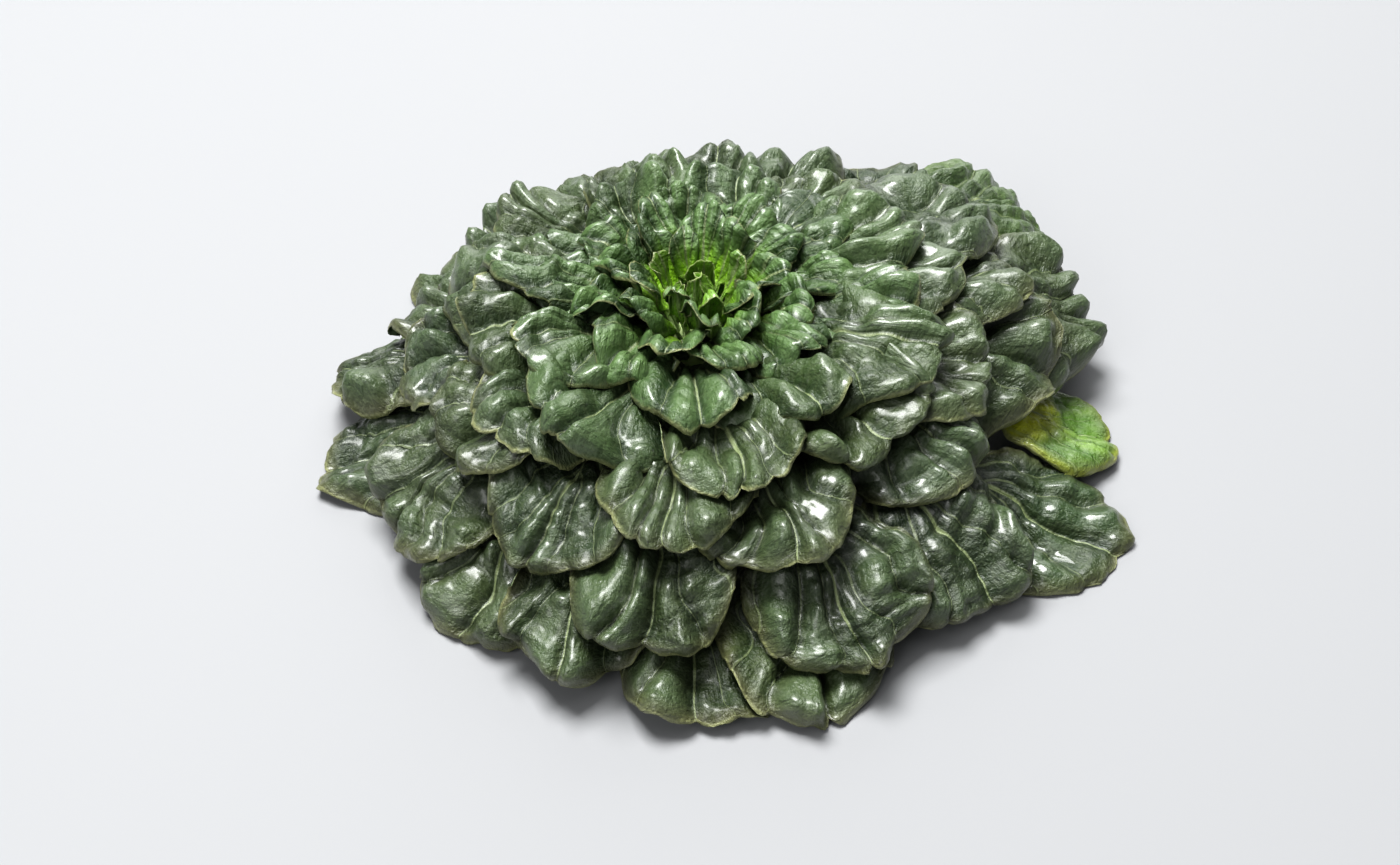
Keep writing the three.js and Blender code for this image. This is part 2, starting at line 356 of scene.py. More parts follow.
def letVeinsStray(flat, rng):
    # phase is the fan with the side veins moved by a ripple, and the midrib where it was
    away = relief["stray"] * ripple(flat["across"], flat["along"], waveLength["stray"], rng)
    return flat["fan"] + away * smooth(np.abs(flat["fan"]), 0.1, 0.9) * smooth(flat["q"], 0.04, 0.5)


def rimDistance(flat, plan):
    # how far each point lies from the rim: the smaller of the way to the end and to the side, blended by
    # -3 log(exp(-end / 3) + exp(-side / 3) - exp(-(end + side) / 3)). ends is 1 where the end is nearer.
    fromEnd = (1 - flat["q"]) * flat["blade"]
    fromSide = (1 - np.abs(flat["t"])) * flat["half"] * mix(1.2, 2.0, plan["youth"])
    both = fromEnd + fromSide
    rim = -3 * np.log(np.exp(-fromEnd / 3) + np.exp(-fromSide / 3) - np.exp(-both / 3) + 1e-9)
    ends = fromSide / (fromEnd + fromSide + 1e-6)
    return np.where(flat["stalk"] < 1, 99, rim), ends


def raiseRidges(flat, plan, rim, rise, rng):
    # Ridges rise between the veins by |sin(pi phase)|, each to its own height, and part in two at the
    # rim by |sin(2 pi phase)|.
    q, x, y, phase = flat["q"], flat["across"], flat["along"], flat["phase"]
    lobe = plan["width"] / (2 * flat["pairs"] + 1) * plan["calm"]
    wide = np.abs(np.gradient(x, axis=1)) / np.maximum(np.abs(np.gradient(flat["fan"], axis=1)), 1e-3)
    wide = np.minimum(wide * plan["calm"], 1.5 * lobe)
    cushion = np.abs(np.sin(np.pi * phase)) ** mix(1.5, 0.72, plan["size"])
    high = np.interp(phase, lobes, rng.uniform(0.25, 1.45, lobes.size))
    uneven = ripple(phase * 7, q * flat["blade"], waveLength["uneven"], rng)
    high = high * np.maximum(1 + relief["uneven"] * uneven, 0.1)
    nearRim = mix(mix(0.2, 0.12, plan["size"]), 1, smooth(rim, 0, 9 * plan["size"]))
    wide = relief["cushion"] * wide / (1 + wide / relief["cushionLess"])
    height = (wide * high * cushion - 0.2 * lobe) * rise * nearRim
    split = np.abs(np.sin(2 * np.pi * phase)) ** 0.8
    splitVaries = 1 + 0.5 * ripple(x, y, waveLength["split"], rng)
    height += relief["split"] * lobe * nearRim * smooth(q, 0.5, 0.95) * (split - 0.6) * splitVaries
    return height, cushion, high


def foldBlade(height, flat, plan, size, cushion, rise, rng):
    # The halves rise from the midrib by the square root of x^2 + 4 and fall to the sides by x^2, broad
    # folds run out to the rim as sines of t, and ripples of several lengths crumple the rest.
    q, t, x, y = flat["q"], flat["t"], flat["across"], flat["along"]
    half = plan["width"] / 2
    slope = relief["shoulder"] * rng.uniform(0.4, 1.5)
    drop = rng.uniform(0, 0.2) * half
    height += slope * (np.sqrt(x * x + 4) - 2) * rise - (slope * half + drop) * (x / half) ** 2
    turns = rng.uniform(0.8, 1.5)
    fold = np.sin(np.pi * turns * t + rng.uniform(0, 6.3))
    fold = fold + 0.5 * np.sin(np.pi * 2.3 * turns * t + rng.uniform(0, 6.3))
    height += relief["fold"] * size * q**1.5 * fold * rng.uniform(0.4, 1.5)
    height += relief["lump"] * size * ripple(x, y, waveLength["lump"], rng) * smooth(q, 0, 0.3)
    crease = np.clip(1 - 2.8 * np.abs(ripple(x, y, waveLength["crease"], rng)), 0, 1) ** 1.5
    height -= relief["crease"] * size * crease * rise * cushion
    height += relief["dent"] * size * ripple(x, y, waveLength["dent"], rng) * rise
    grown = mix(0.4, 1, smooth(plan["size"], 0.4, 0.8))
    height += relief["pucker"] * ripple(x, y, waveLength["pucker"], rng) * rise * grown
    height += relief["bubble"] * ripple(x, y, waveLength["bubble"], rng) * rise
    height += relief["tilt"] * x * scatter(plan["leaf"], 5) * smooth(q, 0, 0.8)
    lift = relief["lift"] * scatter(plan["leaf"], 6)
    lift = lift + relief["liftYoung"] * smooth(plan["youth"], 0.55, 0.9)
    height += lift * q * q
    return height


def rollRim(flat, plan, rim, rng):
    # The rim rolls down by an angle that grows with the square of e, the way into it: it falls by the
    # integral of sin(angle e^2) and draws in by that of 1 - cos(angle e^2), both as their first terms.
    width = min(relief["rollWidth"] * mix(0.65, 1, plan["size"]), 0.42 * flat["blade"])
    e = np.clip(1 - rim / width, 0, 1)
    uneven = np.interp(flat["phase"], lobes, rng.uniform(0.4, 1.3, lobes.size))
    roll = relief["roll"] + relief["rollYoung"] * smooth(plan["youth"], 0.4, 0.7)
    roll = roll * (1 - 0.8 * smooth(plan["youth"], 0.88, 1))
    angle = roll * uneven * rng.uniform(0.6, 1.3) * smooth(flat["q"], 0.15, 0.5)
    angle = np.clip(angle, 0, relief["rollMost"])
    fall = width * (angle * e**3 / 3 - angle**3 * e**7 / 42)
    draw = width * (angle**2 * e**5 / 10 - angle**4 * e**9 / 216)
    return fall, draw


def shapeBlade(flat, plan, rng):
    # height off the smooth leaf, and how far the outline is drawn in along and across
    q, t, x, y = flat["q"], flat["t"], flat["across"], flat["along"]
    size = mix(0.12, 1, plan["size"]) * plan["calm"]
    rise = smooth(q, 0.04, 0.5)
    rim, ends = rimDistance(flat, plan)
    height, cushion, high = raiseRidges(flat, plan, rim, rise, rng)
    height = foldBlade(height, flat, plan, size, cushion, rise, rng)
    fall, draw = rollRim(flat, plan, rim, rng)
    height -= fall
    wander = relief["wander"] * size * rise
    notch = np.interp(flat["phase"], lobes + 0.5, rng.uniform(0.2, 2.2, lobes.size))
    notch = notch * (1 - cushion) ** 1.5
    alongIn = draw * ends + relief["scallop"] * size * notch * smooth(rim, 9, 0)
    alongIn = alongIn + wander * ripple(x, y, waveLength["wander"], rng) * q
    acrossIn = np.sign(t) * draw * (1 - ends) + wander * ripple(x, y, waveLength["wander"], rng)
    height -= relief["groove"] * size * np.exp(-((x / 1.9) ** 2)) * smooth(q, 0, 0.1) * (1 - 0.6 * q)
    frill = smooth(rim, 8, 0) * smooth(size, 0.2, 0.5) * rise
    height += relief["frill"] * ripple(x, y, waveLength["frill"], rng) * frill
    alongIn = alongIn + relief["frill"] * ripple(x, y, waveLength["frillOut"], rng) * frill
    return height * smooth(flat["stalk"] + q, 0.9, 1.05), alongIn, acrossIn, rim, cushion * rise * high


def spreadAt(angle, radius):
    # the head spreads further on some sides: one bell curve in azimuth for each of them
    further = 0
    for azimuth, spread, amount in rosette["spreads"]:
        turn = angle - math.radians(azimuth)
        away = np.arctan2(np.sin(turn), np.cos(turn)) / math.radians(spread)
        further = further + amount * np.exp(-away * away)
    return 1 + further * smooth(radius, rosette["spreadFrom"], rosette["spreadTo"])


def bendOnProfile(plan, profile, along, across, height):
    # carries the flat leaf along its profile and round the axis, and lifts it by height off both
    length, radius, level, slope = profile
    along = np.clip(along, 0, length[-1])
    r = np.interp(along, length, radius)
    z = np.interp(along, length, level)
    a = np.interp(along, length, slope)
    r = r - height * np.sin(a)
    z = z + height * np.cos(a)
    around = np.maximum(r, 9) * leafShape["wrap"]
    turned = across / around
    out = r - around * (1 - np.cos(turned))
    side = around * np.sin(turned)
    azimuth = plan["azimuth"] + plan["turn"] * smooth(r, rosette["spreadFrom"], rosette["spreadTo"])
    x = out * np.cos(azimuth) - side * np.sin(azimuth)
    y = out * np.sin(azimuth) + side * np.cos(azimuth)
    further = spreadAt(np.arctan2(y, x), np.hypot(x, y))
    return np.stack([x * further, y * further, z], axis=-1)


def blur(grid, size):
    # three running means along each direction, with the border repeated
    size = int(size)
    if size < 1:
        return grid
    for axis in (0, 1):
        for _ in range(3):
            pad = [(0, 0), (0, 0)]
            pad[axis] = (size + 1, size)
            total = np.cumsum(np.pad(grid, pad, mode="edge"), axis=axis)
            width = 2 * size + 1
            count = total.shape[axis]
            high = np.take(total, range(width, count), axis=axis)
            low = np.take(total, range(0, count - width), axis=axis)
            grid = (high - low) / width
    return grid


def spreadOut(grid, size):
    # each value becomes the largest within size cells
    for axis in (0, 1):
        padded = np.pad(grid, [(size, size) if a == axis else (0, 0) for a in (0, 1)], mode="edge")
        count = grid.shape[axis]
        shifts = [np.take(padded, range(k, k + count), axis=axis) for k in range(2 * size + 1)]
        grid = np.max(shifts, axis=0)
    return grid


drape = {
    "centre": -120.0,  # height of the point that leaves are pushed away from
    "scale": 170.0,  # cells in the map of the pile, for each radian
    "half": 210,  # cells from its middle to its border
    "gap": 1.0,  # distance kept between two leaves
    "most": 9.0,  # the furthest that a leaf is pushed
    "droop": 11.0,  # and that it falls
    "sink": 1.5,  # how far the blades lie below their profile
    "table": 0.8,  # height of the middle of a leaf that lies on the table
    "underTable": 0.15,  # and of its lower skin
}

# how far the pile of leaves reaches from the drape's centre, by direction
cover = np.zeros((2 * drape["half"] + 1, 2 * drape["half"] + 1))


def coverCells(points):
    # the direction from the drape's centre as a place on a flat map, and the distance from it
    v = points - np.array([0, 0, drape["centre"]])
    far = np.linalg.norm(v, axis=-1)
    angle = np.arccos(np.clip(v[..., 2] / far, -1, 1)) * drape["scale"]
    turn = np.arctan2(v[..., 1], v[..., 0])
    last = 2 * drape["half"] - 1
    column = np.clip(np.rint(angle * np.cos(turn)) + drape["half"], 1, last).astype(int)
    row = np.clip(np.rint(angle * np.sin(turn)) + drape["half"], 1, last).astype(int)
    return row, column, far, v / far[..., None]


def clearance(points, out):
    # how far each point lies above the pile and the table, away from the drape's centre
    row, column, far, _ = coverCells(points)
    below = np.max([cover[row + i, column + j] for i in (-1, 0, 1) for j in (-1, 0, 1)], axis=0)
    overTable = (points[..., 2] - drape["table"]) / np.maximum(out[..., 2], 0.2)
    return np.where(below > 0, np.minimum(far - below - drape["gap"], overTable), overTable)


def layOver(points, plan, q):
    # lets a leaf droop on to the pile, and pushes it out where it would cross it
    free = smooth(np.hypot(points[..., 0], points[..., 1]), 17, 34)
    most = drape["most"] * (1 - smooth(plan["youth"], 0.4, 0.72))
    out = coverCells(points)[3]
    move = np.zeros(points.shape[:2])
    for size in (6, 3, 1):
        need = np.clip(-clearance(points + move[..., None] * out, out), 0, most) * free
        move = np.minimum(move + blur(spreadOut(need, size), size), most)
    room = np.clip(clearance(points + move[..., None] * out, out), 0, 20)
    room = blur(-spreadOut(-room, 5), 5)
    droop = drape["droop"] * (0.65 + 0.35 * scatter(plan["leaf"], 7))
    droop = droop * (1 - smooth(plan["youth"], 0.5, 0.8))
    move = move - np.minimum(room, droop * smooth(q, 0.1, 1.0))
    for size in (1, 0):
        need = np.clip(-clearance(points + move[..., None] * out, out), 0, most) * free
        move = np.minimum(move + (blur(spreadOut(need, size), size) if size else need), most)
    return points + move[..., None] * out


def refine(points, times):
    # the same surface with times as many rows and columns, by straight interpolation
    for axis in (0, 1):
        count = points.shape[axis]
        at = np.linspace(0, count - 1, times * (count - 1) + 1)
        low = np.minimum(at.astype(int), count - 2)
        share = (at - low).reshape([-1, 1, 1] if axis == 0 else [1, -1, 1])
        points = mix(np.take(points, low, axis=axis), np.take(points, low + 1, axis=axis), share)
    return points


def addToCover(points):
    # keeps the furthest point in each cell of the map
    row, column, far, _ = coverCells(refine(points, 3))
    np.maximum.at(cover, (row.ravel(), column.ravel()), far.ravel())


def surfaceNormals(points):
    # the cross product of the steps down the rows and along the columns
    n = np.cross(np.gradient(points, axis=0), np.gradient(points, axis=1))
    return n / np.maximum(np.linalg.norm(n, axis=-1, keepdims=True), 1e-9)


def closedSheetFaces(rows, columns):
    # quads over the upper skin, the lower skin and the edge between them
    i = np.arange(rows * columns).reshape(rows, columns)
    under = i + rows * columns
    top = np.stack([i[:-1, :-1], i[1:, :-1], i[1:, 1:], i[:-1, 1:]], -1)
    bottom = np.stack([under[:-1, :-1], under[:-1, 1:], under[1:, 1:], under[1:, :-1]], -1)
    ring = np.concatenate([i[0, :], i[1:, -1], i[-1, -2::-1], i[-2:0:-1, 0]])
    nextOne = np.roll(ring, -1)
    below = rows * columns
    edge = np.stack([ring, nextOne, nextOne + below, ring + below], -1)
    return np.concatenate([top.reshape(-1, 4), bottom.reshape(-1, 4), edge])


def makeMesh(name, points, faces, material):
    mesh = bpy.data.meshes.new(name)
    mesh.from_pydata((points * mm).tolist(), [], faces)
    mesh.polygons.foreach_set("use_smooth", np.ones(len(mesh.polygons), bool))
    mesh.materials.append(material)
    piece = bpy.data.objects.new(name, mesh)
    bpy.context.scene.collection.objects.link(piece)
    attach(piece, "root")
    return piece


def addMap(piece, name, places):
    # places holds one pair for each vertex
    mesh = piece.data
    loops = np.empty(len(mesh.loops), int)
    mesh.loops.foreach_get("vertex_index", loops)
    mesh.uv_layers.new(name=name).data.foreach_set("uv", places[loops].astype(np.float32).ravel())


def addValues(piece, name, values):
    layer = piece.data.attributes.new(name, "FLOAT", "POINT")
    layer.data.foreach_set("value", values.astype(np.float32).ravel())


def onBothSkins(values):
    # once for the upper skin's vertices and once for the lower's
    return np.concatenate([values.ravel(), values.ravel()])


def makeLeaf(leaf, material):
    # two skins, thick apart, on either side of the leaf's middle surface
    plan = planLeaf(leaf)
    rng = np.random.default_rng(1000 + leaf)
    profile = profileOf(plan)
    flat = layFlat(plan, profile[0][-1], rng)
    flat["phase"] = letVeinsStray(flat, rng)
    height, alongIn, acrossIn, rim, ridge = shapeBlade(flat, plan, rng)
    height = height - drape["sink"] * smooth(flat["q"], 0, 0.4) * (1 - plan["youth"])
    middle = bendOnProfile(plan, profile, flat["along"] - alongIn, flat["across"] - acrossIn, height)
    middle = layOver(middle, plan, flat["q"])
    middle[..., 2] = np.maximum(middle[..., 2], drape["table"])
    addToCover(middle)
    normals = surfaceNormals(middle)
    bladeThick = mix(leafShape["rimThick"], leafShape["bladeThick"], np.clip(rim / 4, 0, 1))
    grown = mix(0.5, 1, plan["size"])
    stalkThick = mix(leafShape["stalkThick"], leafShape["neckThick"], flat["stalk"]) * grown
    rounded = np.sqrt(np.maximum(1 - flat["t"] ** 2, 0.02))
    onStalk = np.where(flat["stalk"] < 1, 1, smooth(1 - flat["q"], 0.9, 1))
    thick = mix(bladeThick, stalkThick * rounded, onStalk)
    rib = leafShape["ribThick"] * grown * np.exp(-((flat["across"] / 1.3) ** 2))
    rib = rib * (1 - flat["q"]) * (flat["stalk"] >= 1)
    upper = middle + normals * (thick / 2)[..., None]
    lower = middle - normals * (thick / 2 + rib)[..., None]
    lower[..., 2] = np.maximum(lower[..., 2], drape["underTable"])
    rows, columns = flat["q"].shape
    points = np.concatenate([upper.reshape(-1, 3), lower.reshape(-1, 3)])
    faces = closedSheetFaces(rows, columns).tolist()
    piece = makeMesh(pieceName(leaf), points, faces, material)
    addMap(piece, "veins", np.stack([onBothSkins(flat["phase"]), onBothSkins(flat["q"])], -1))
    addMap(piece, "flat", np.stack([onBothSkins(flat["across"]), onBothSkins(flat["along"])], -1) / 100)
    veinStep = np.maximum(np.abs(np.gradient(flat["phase"], axis=1)), 1e-3)
    spacing = np.gradient(flat["across"], axis=1) / veinStep
    addValues(piece, "veinSpacing", onBothSkins(np.abs(spacing)))
    addValues(piece, "rim", onBothSkins(rim))
    addValues(piece, "ridge", onBothSkins(ridge))
    addValues(piece, "blade", onBothSkins(smooth(flat["stalk"] + flat["q"], 0.6, 1.06)))
    addValues(piece, "under", np.repeat([0.0, 1.0], rows * columns))
    addValues(piece, "age", onBothSkins(0 * flat["q"] + 1 - plan["youth"]))
    addValues(piece, "tone", onBothSkins(0 * flat["q"] + 0.35 + 0.35 * scatter(leaf, 11)))
    return piece


def ringOf(leaf):
    return next(ring for ring, end in rings.items() if leaf < end)


def pieceName(leaf):
    return f"{ringOf(leaf)}_leaf_{leaf + 1:02d}"


leafColours = {
    "old": (0.0125, 0.023, 0.010, 1),
    "oldLight": (0.0262, 0.045, 0.018, 1),
    # ridge is painted sheen: a lighter grey-green laid on the crests in place of the light they catch
    "ridge": (0.064, 0.098, 0.045, 1),
    "warm": (0.042, 0.055, 0.016, 1),
    # painted shade for the lower part of a blade, which the leaf above hides and shades
    "deep": (0.005, 0.012, 0.004, 1),
    "edge": (0.110, 0.105, 0.046, 1),
    "young": (0.088, 0.158, 0.050, 1),
    # painted shade for the hollows between a young leaf's ridges
    "youngHollowShade": (0.014, 0.038, 0.006, 1),
    "heart": (0.260, 0.520, 0.016, 1),
    "vein": (0.270, 0.325, 0.160, 1),
    "rim": (0.270, 0.285, 0.130, 1),
    "under": (0.090, 0.150, 0.070, 1),
    "stalk": (0.500, 0.640, 0.300, 1),
}


class Tree:
    # short calls for a material's nodes
    def __init__(self, name):
        self.material = bpy.data.materials.new(name)
        self.material.use_nodes = True
        self.nodes = self.material.node_tree.nodes
        self.links = self.material.node_tree.links
        self.shader = self.nodes["Principled BSDF"]

    def feed(self, socket, value):
        if isinstance(value, bpy.types.NodeSocket):
            self.links.new(value, socket)
        else:
            socket.default_value = value

    def value(self, name):
        node = self.nodes.new("ShaderNodeAttribute")
        node.attribute_name = name
        return node.outputs["Fac"]

    def place(self, name):
        node = self.nodes.new("ShaderNodeUVMap")
        node.uv_map = name
        return node.outputs["UV"]

    def math(self, kind, a, b=0.0):
        node = self.nodes.new("ShaderNodeMath")
        node.operation = kind
        self.feed(node.inputs[0], a)
        self.feed(node.inputs[1], b)
        return node.outputs[0]

    def ramp(self, value, low, high, fromValue=0.0, toValue=1.0):
        # fromValue at low, toValue at high, and 3s^2 - 2s^3 of the way between
        node = self.nodes.new("ShaderNodeMapRange")
        node.interpolation_type = "SMOOTHSTEP"
        self.feed(node.inputs["Value"], value)
        self.feed(node.inputs["From Min"], low)
        self.feed(node.inputs["From Max"], high)
        node.inputs["To Min"].default_value = fromValue
        node.inputs["To Max"].default_value = toValue
        return node.outputs["Result"]

    def blend(self, share, a, b):
        node = self.nodes.new("ShaderNodeMix")
        node.data_type = "RGBA"
        self.feed(node.inputs["Factor"], share)
        self.feed(node.inputs[6], a)
        self.feed(node.inputs[7], b)
        return node.outputs[2]

    def noise(self, vector, scale, detailLevel=2.0, roughness=0.5):
        node = self.nodes.new("ShaderNodeTexNoise")
        self.feed(node.inputs["Vector"], vector)
        node.inputs["Scale"].default_value = scale
        node.inputs["Detail"].default_value = detailLevel
        node.inputs["Roughness"].default_value = roughness
        return node.outputs["Fac"]

    def stretch(self, vector, scale):
        node = self.nodes.new("ShaderNodeMapping")
        self.feed(node.inputs["Vector"], vector)
        node.inputs["Scale"].default_value = scale
        return node.outputs["Vector"]

    def split(self, vector):
        node = self.nodes.new("ShaderNodeSeparateXYZ")
        self.feed(node.inputs[0], vector)
        return node.outputs

    def bump(self, height, distance, strength=1.0, normal=None):
        node = self.nodes.new("ShaderNodeBump")
        node.inputs["Strength"].default_value = strength
        node.inputs["Distance"].default_value = distance
        self.feed(node.inputs["Height"], height)
        if normal is not None:
            self.feed(node.inputs["Normal"], normal)
        return node.outputs["Normal"]


def veinLine(tree, phase, share):
    # 1 on a vein and 0 beside it: the distance to the nearest one, over half its width there
    nearest = tree.math("ROUND", phase)
    offVein = tree.math("ABSOLUTE", tree.math("SUBTRACT", phase, nearest))
    offVein = tree.math("MULTIPLY", offVein, tree.value("veinSpacing"))
    isRib = tree.math("LESS_THAN", tree.math("ABSOLUTE", nearest), 0.5)
    isSide = tree.math("SUBTRACT", 1.0, isRib)
    rib = tree.math("MULTIPLY", isRib, tree.ramp(share, 0.0, 1.0, 1.3, 0.3))
    side = tree.math("MULTIPLY", isSide, tree.ramp(share, 0.0, 1.0, 0.7, 0.2))
    half = tree.math("ADD", rib, side)
    return tree.ramp(tree.math("DIVIDE", offVein, half), 0.35, 1.0, 1.0, 0.0), isRib


def veinNet(tree, flat):
    # the distance to the nearest of the fine veins between the large ones
    net = tree.nodes.new("ShaderNodeTexVoronoi")
    net.feature = "DISTANCE_TO_EDGE"
    tree.feed(net.inputs["Vector"], flat)
    net.inputs["Scale"].default_value = 42
    net.inputs["Randomness"].default_value = 0.9
    return net.outputs["Distance"]


def leafGreen(tree, colours, places):
    # old leaves are painted lighter on the crests as painted sheen, so their hollows stay darker as
    # painted shade, and are painted darker towards the stalk as painted shade where the leaf above
    # covers them; young ones are lighter, with painted shade in their hollows
    here, age, ridge, share = places["here"], places["age"], places["ridge"], places["share"]
    patches = tree.ramp(tree.noise(here, 45, 3.0, 0.6), 0.35, 0.7)
    green = tree.blend(patches, colours["old"], colours["oldLight"])
    warmth = tree.math("MULTIPLY", tree.value("tone"), tree.ramp(ridge, 0.0, 0.7, 0.2, 1.0))
    green = tree.blend(warmth, green, colours["warm"])
    # painted sheen: the crests are painted the lighter ridge colour, so the hollows stay darker as
    # painted shade
    green = tree.blend(tree.ramp(ridge, 0.2, 1.1, 0.0, 0.6), green, colours["ridge"])
    nearRim = tree.ramp(tree.value("rim"), 8.0, 0.0, 0.0, 0.6)
    rimTint = tree.math("MULTIPLY", nearRim, tree.ramp(age, 0.4, 0.9))
    green = tree.blend(rimTint, green, colours["edge"])
    # painted shade: young leaves are painted darker in the hollows between their ridges
    young = tree.blend(tree.ramp(ridge, 0.15, 1.0), colours["youngHollowShade"], colours["young"])
    green = tree.blend(tree.ramp(age, 0.62, 0.16), green, young)
    # painted shade: the lower part of a blade, hidden and shaded by the leaf above, is painted darker
    deep = tree.math("MULTIPLY", tree.ramp(share, 0.75, 0.2, 0.0, 0.8), tree.ramp(age, 0.15, 0.3))
    green = tree.blend(deep, green, colours["deep"])
    heart = tree.math("MULTIPLY", tree.ramp(age, 0.4, 0.1), tree.ramp(share, 0.72, 0.15))
    green = tree.blend(heart, green, colours["heart"])
    return tree.blend(tree.ramp(age, 0.1, 0.02, 0.0, 0.6), green, colours["heart"])


def stainOn(tree, green, colours, places):
    # yellow from the stalk outwards, with an uneven border, and along the rim
    uneven = tree.math("MULTIPLY", tree.noise(places["here"], 60), 0.5)
    base = tree.ramp(tree.math("ADD", places["share"], uneven), 0.88, 0.4)
    edge = tree.ramp(tree.value("rim"), 4.0, 0.0, 0.0, 0.4)
    return tree.blend(tree.math("MAXIMUM", edge, base), green, colours["stain"])


def paleRim(tree, places):
    # a thin line, broader on old leaves, uneven, and weaker in places
    mottle = tree.math("MULTIPLY", tree.noise(places["flat"], 90, 3.0, 0.6), 1.6)
    broad = tree.ramp(places["age"], 0.0, 0.5, 1.6, 2.8)
    line = tree.ramp(tree.math("ADD", tree.value("rim"), mottle), 1.0, broad, 0.85, 0.0)
    return tree.math("MULTIPLY", line, tree.ramp(tree.noise(places["here"], 28), 0.38, 0.62, 0.5, 1.0))


def leafBumps(tree, places, net, line):
    # fine cells and grain, wrinkles, wrinkles along the veins, and the veins themselves
    raised = tree.ramp(places["age"], 0.1, 0.6, 0.8, 0.35)
    pillow = tree.math("MULTIPLY", tree.ramp(net, 0.0, 0.4), raised)
    fine = tree.math("ADD", pillow, tree.noise(places["flat"], 130, 3.0, 0.65))
    normal = tree.bump(fine, 0.0004, 0.9)
    normal = tree.bump(tree.noise(places["flat"], 42, 3.0, 0.6), 0.0014, 0.9, normal)
    alongVeins = tree.noise(tree.stretch(places["veins"], (9, 9, 1)), 1, 3.0, 0.6)
    normal = tree.bump(alongVeins, 0.0009, 0.8, normal)
    return tree.bump(line, 0.0004, 0.8, normal)


def leafShine(tree, places):
    # a clear coat on the ridges, in patches, and a little weaker on young leaves
    onRidge = tree.ramp(places["ridge"], 0.0, 0.6, 0.15, 0.9)
    patches = tree.ramp(tree.noise(places["here"], 70, 3.0, 0.6), 0.35, 0.62, 0.3, 0.95)
    shine = tree.math("MULTIPLY", onRidge, patches)
    return tree.math("MULTIPLY", shine, tree.ramp(places["age"], 0.15, 0.5, 0.85, 1.0))


def leafMaterial(name, colours):
    tree = Tree(name)
    veins = tree.place("veins")
    phase, share, _ = tree.split(veins)
    places = {
        "veins": veins,
        "share": share,  # of the way from the blade's foot to its end
        "flat": tree.place("flat"),
        "here": tree.nodes.new("ShaderNodeTexCoord").outputs["Object"],
        "age": tree.value("age"),
        "ridge": tree.value("ridge"),
    }
    line, isRib = veinLine(tree, phase, share)
    net = veinNet(tree, places["flat"])
    green = leafGreen(tree, colours, places)
    if "stain" in colours:
        green = stainOn(tree, green, colours, places)
    netLine = tree.math("MULTIPLY", tree.ramp(net, 0.0, 0.12, 1.0, 0.0), 0.06)
    green = tree.blend(netLine, green, colours["vein"])
    paleRib = tree.math("MULTIPLY", isRib, tree.ramp(share, 0.1, 1.0, 0.55, 0.3))
    paleness = tree.math("ADD", 0.3, paleRib)
    green = tree.blend(tree.math("MULTIPLY", line, paleness), green, colours["vein"])
    green = tree.blend(paleRim(tree, places), green, colours["rim"])
    under = tree.value("under")
    dull = tree.math("MULTIPLY", under, tree.ramp(places["age"], 0.05, 0.25, 0.15, 0.8))
    green = tree.blend(dull, green, colours["under"])
    green = tree.blend(tree.value("blade"), colours["stalk"], green)
    rough = tree.ramp(tree.noise(places["here"], 160, 3.0, 0.6), 0.3, 0.75, 0.36, 0.54)
    rough = tree.math("ADD", rough, tree.math("MULTIPLY", under, 0.2))
    tree.feed(tree.shader.inputs["Base Color"], green)
    tree.feed(tree.shader.inputs["Roughness"], rough)
    tree.feed(tree.shader.inputs["Normal"], leafBumps(tree, places, net, line))
    tree.feed(tree.shader.inputs["Coat Weight"], leafShine(tree, places))
    tree.shader.inputs["Coat Roughness"].default_value = colours.get("coat", 0.24)
    tree.shader.inputs["Specular IOR Level"].default_value = 0.45
    tree.shader.inputs["IOR"].default_value = 1.52
    return tree.material


crownShape = {
    "foot": 13.0,  # radius of the cut foot
    "footCentre": 0.01,
    "bevel": 0.5,
    "shoulder": 3.4,  # height where the foot's slope meets the cone
    "tip": (47.0, 49.0),  # heights of the last two rings, inside the heart
    "tipRadius": 1.0,
    "closes": 5.5,  # height over which the cone narrows to that radius
    "rings": 40,
    "sides": 120,
    "knob": 0.5,  # how far the knobs stand out
    "knobWidth": 3.2,
    "knobHeight": 1.6,
}


def crownMaterial():
    tree = Tree("pale crown")
    here = tree.nodes.new("ShaderNodeTexCoord").outputs["Object"]
    patches = tree.ramp(tree.noise(here, 120, 4.0, 0.6), 0.35, 0.7)
    shade = tree.blend(patches, (0.62, 0.70, 0.40, 1), (0.46, 0.58, 0.26, 1))
    # a darker ring in the cut foot, between two distances from the axis
    x, y, z = tree.split(here)
    squares = tree.math("ADD", tree.math("MULTIPLY", x, x), tree.math("MULTIPLY", y, y))
    fromAxis = tree.math("SQRT", squares)
    inside = tree.ramp(fromAxis, 0.0104, 0.0092)
    ring = tree.math("MULTIPLY", tree.ramp(fromAxis, 0.0072, 0.0082), inside)
    ring = tree.math("MULTIPLY", ring, tree.ramp(tree.noise(here, 900, 2.0), 0.35, 0.6))
    cut = tree.ramp(z, 0.0012, 0.0004)
    shade = tree.blend(tree.math("MULTIPLY", ring, cut), shade, (0.42, 0.40, 0.16, 1))
    tree.feed(tree.shader.inputs["Base Color"], shade)
    rough = tree.ramp(tree.noise(here, 300, 3.0), 0.3, 0.7, 0.35, 0.6)
    tree.feed(tree.shader.inputs["Roughness"], rough)
    tree.feed(tree.shader.inputs["Normal"], tree.bump(tree.noise(here, 500, 4.0, 0.6), 0.0004, 0.6))
    return tree.material


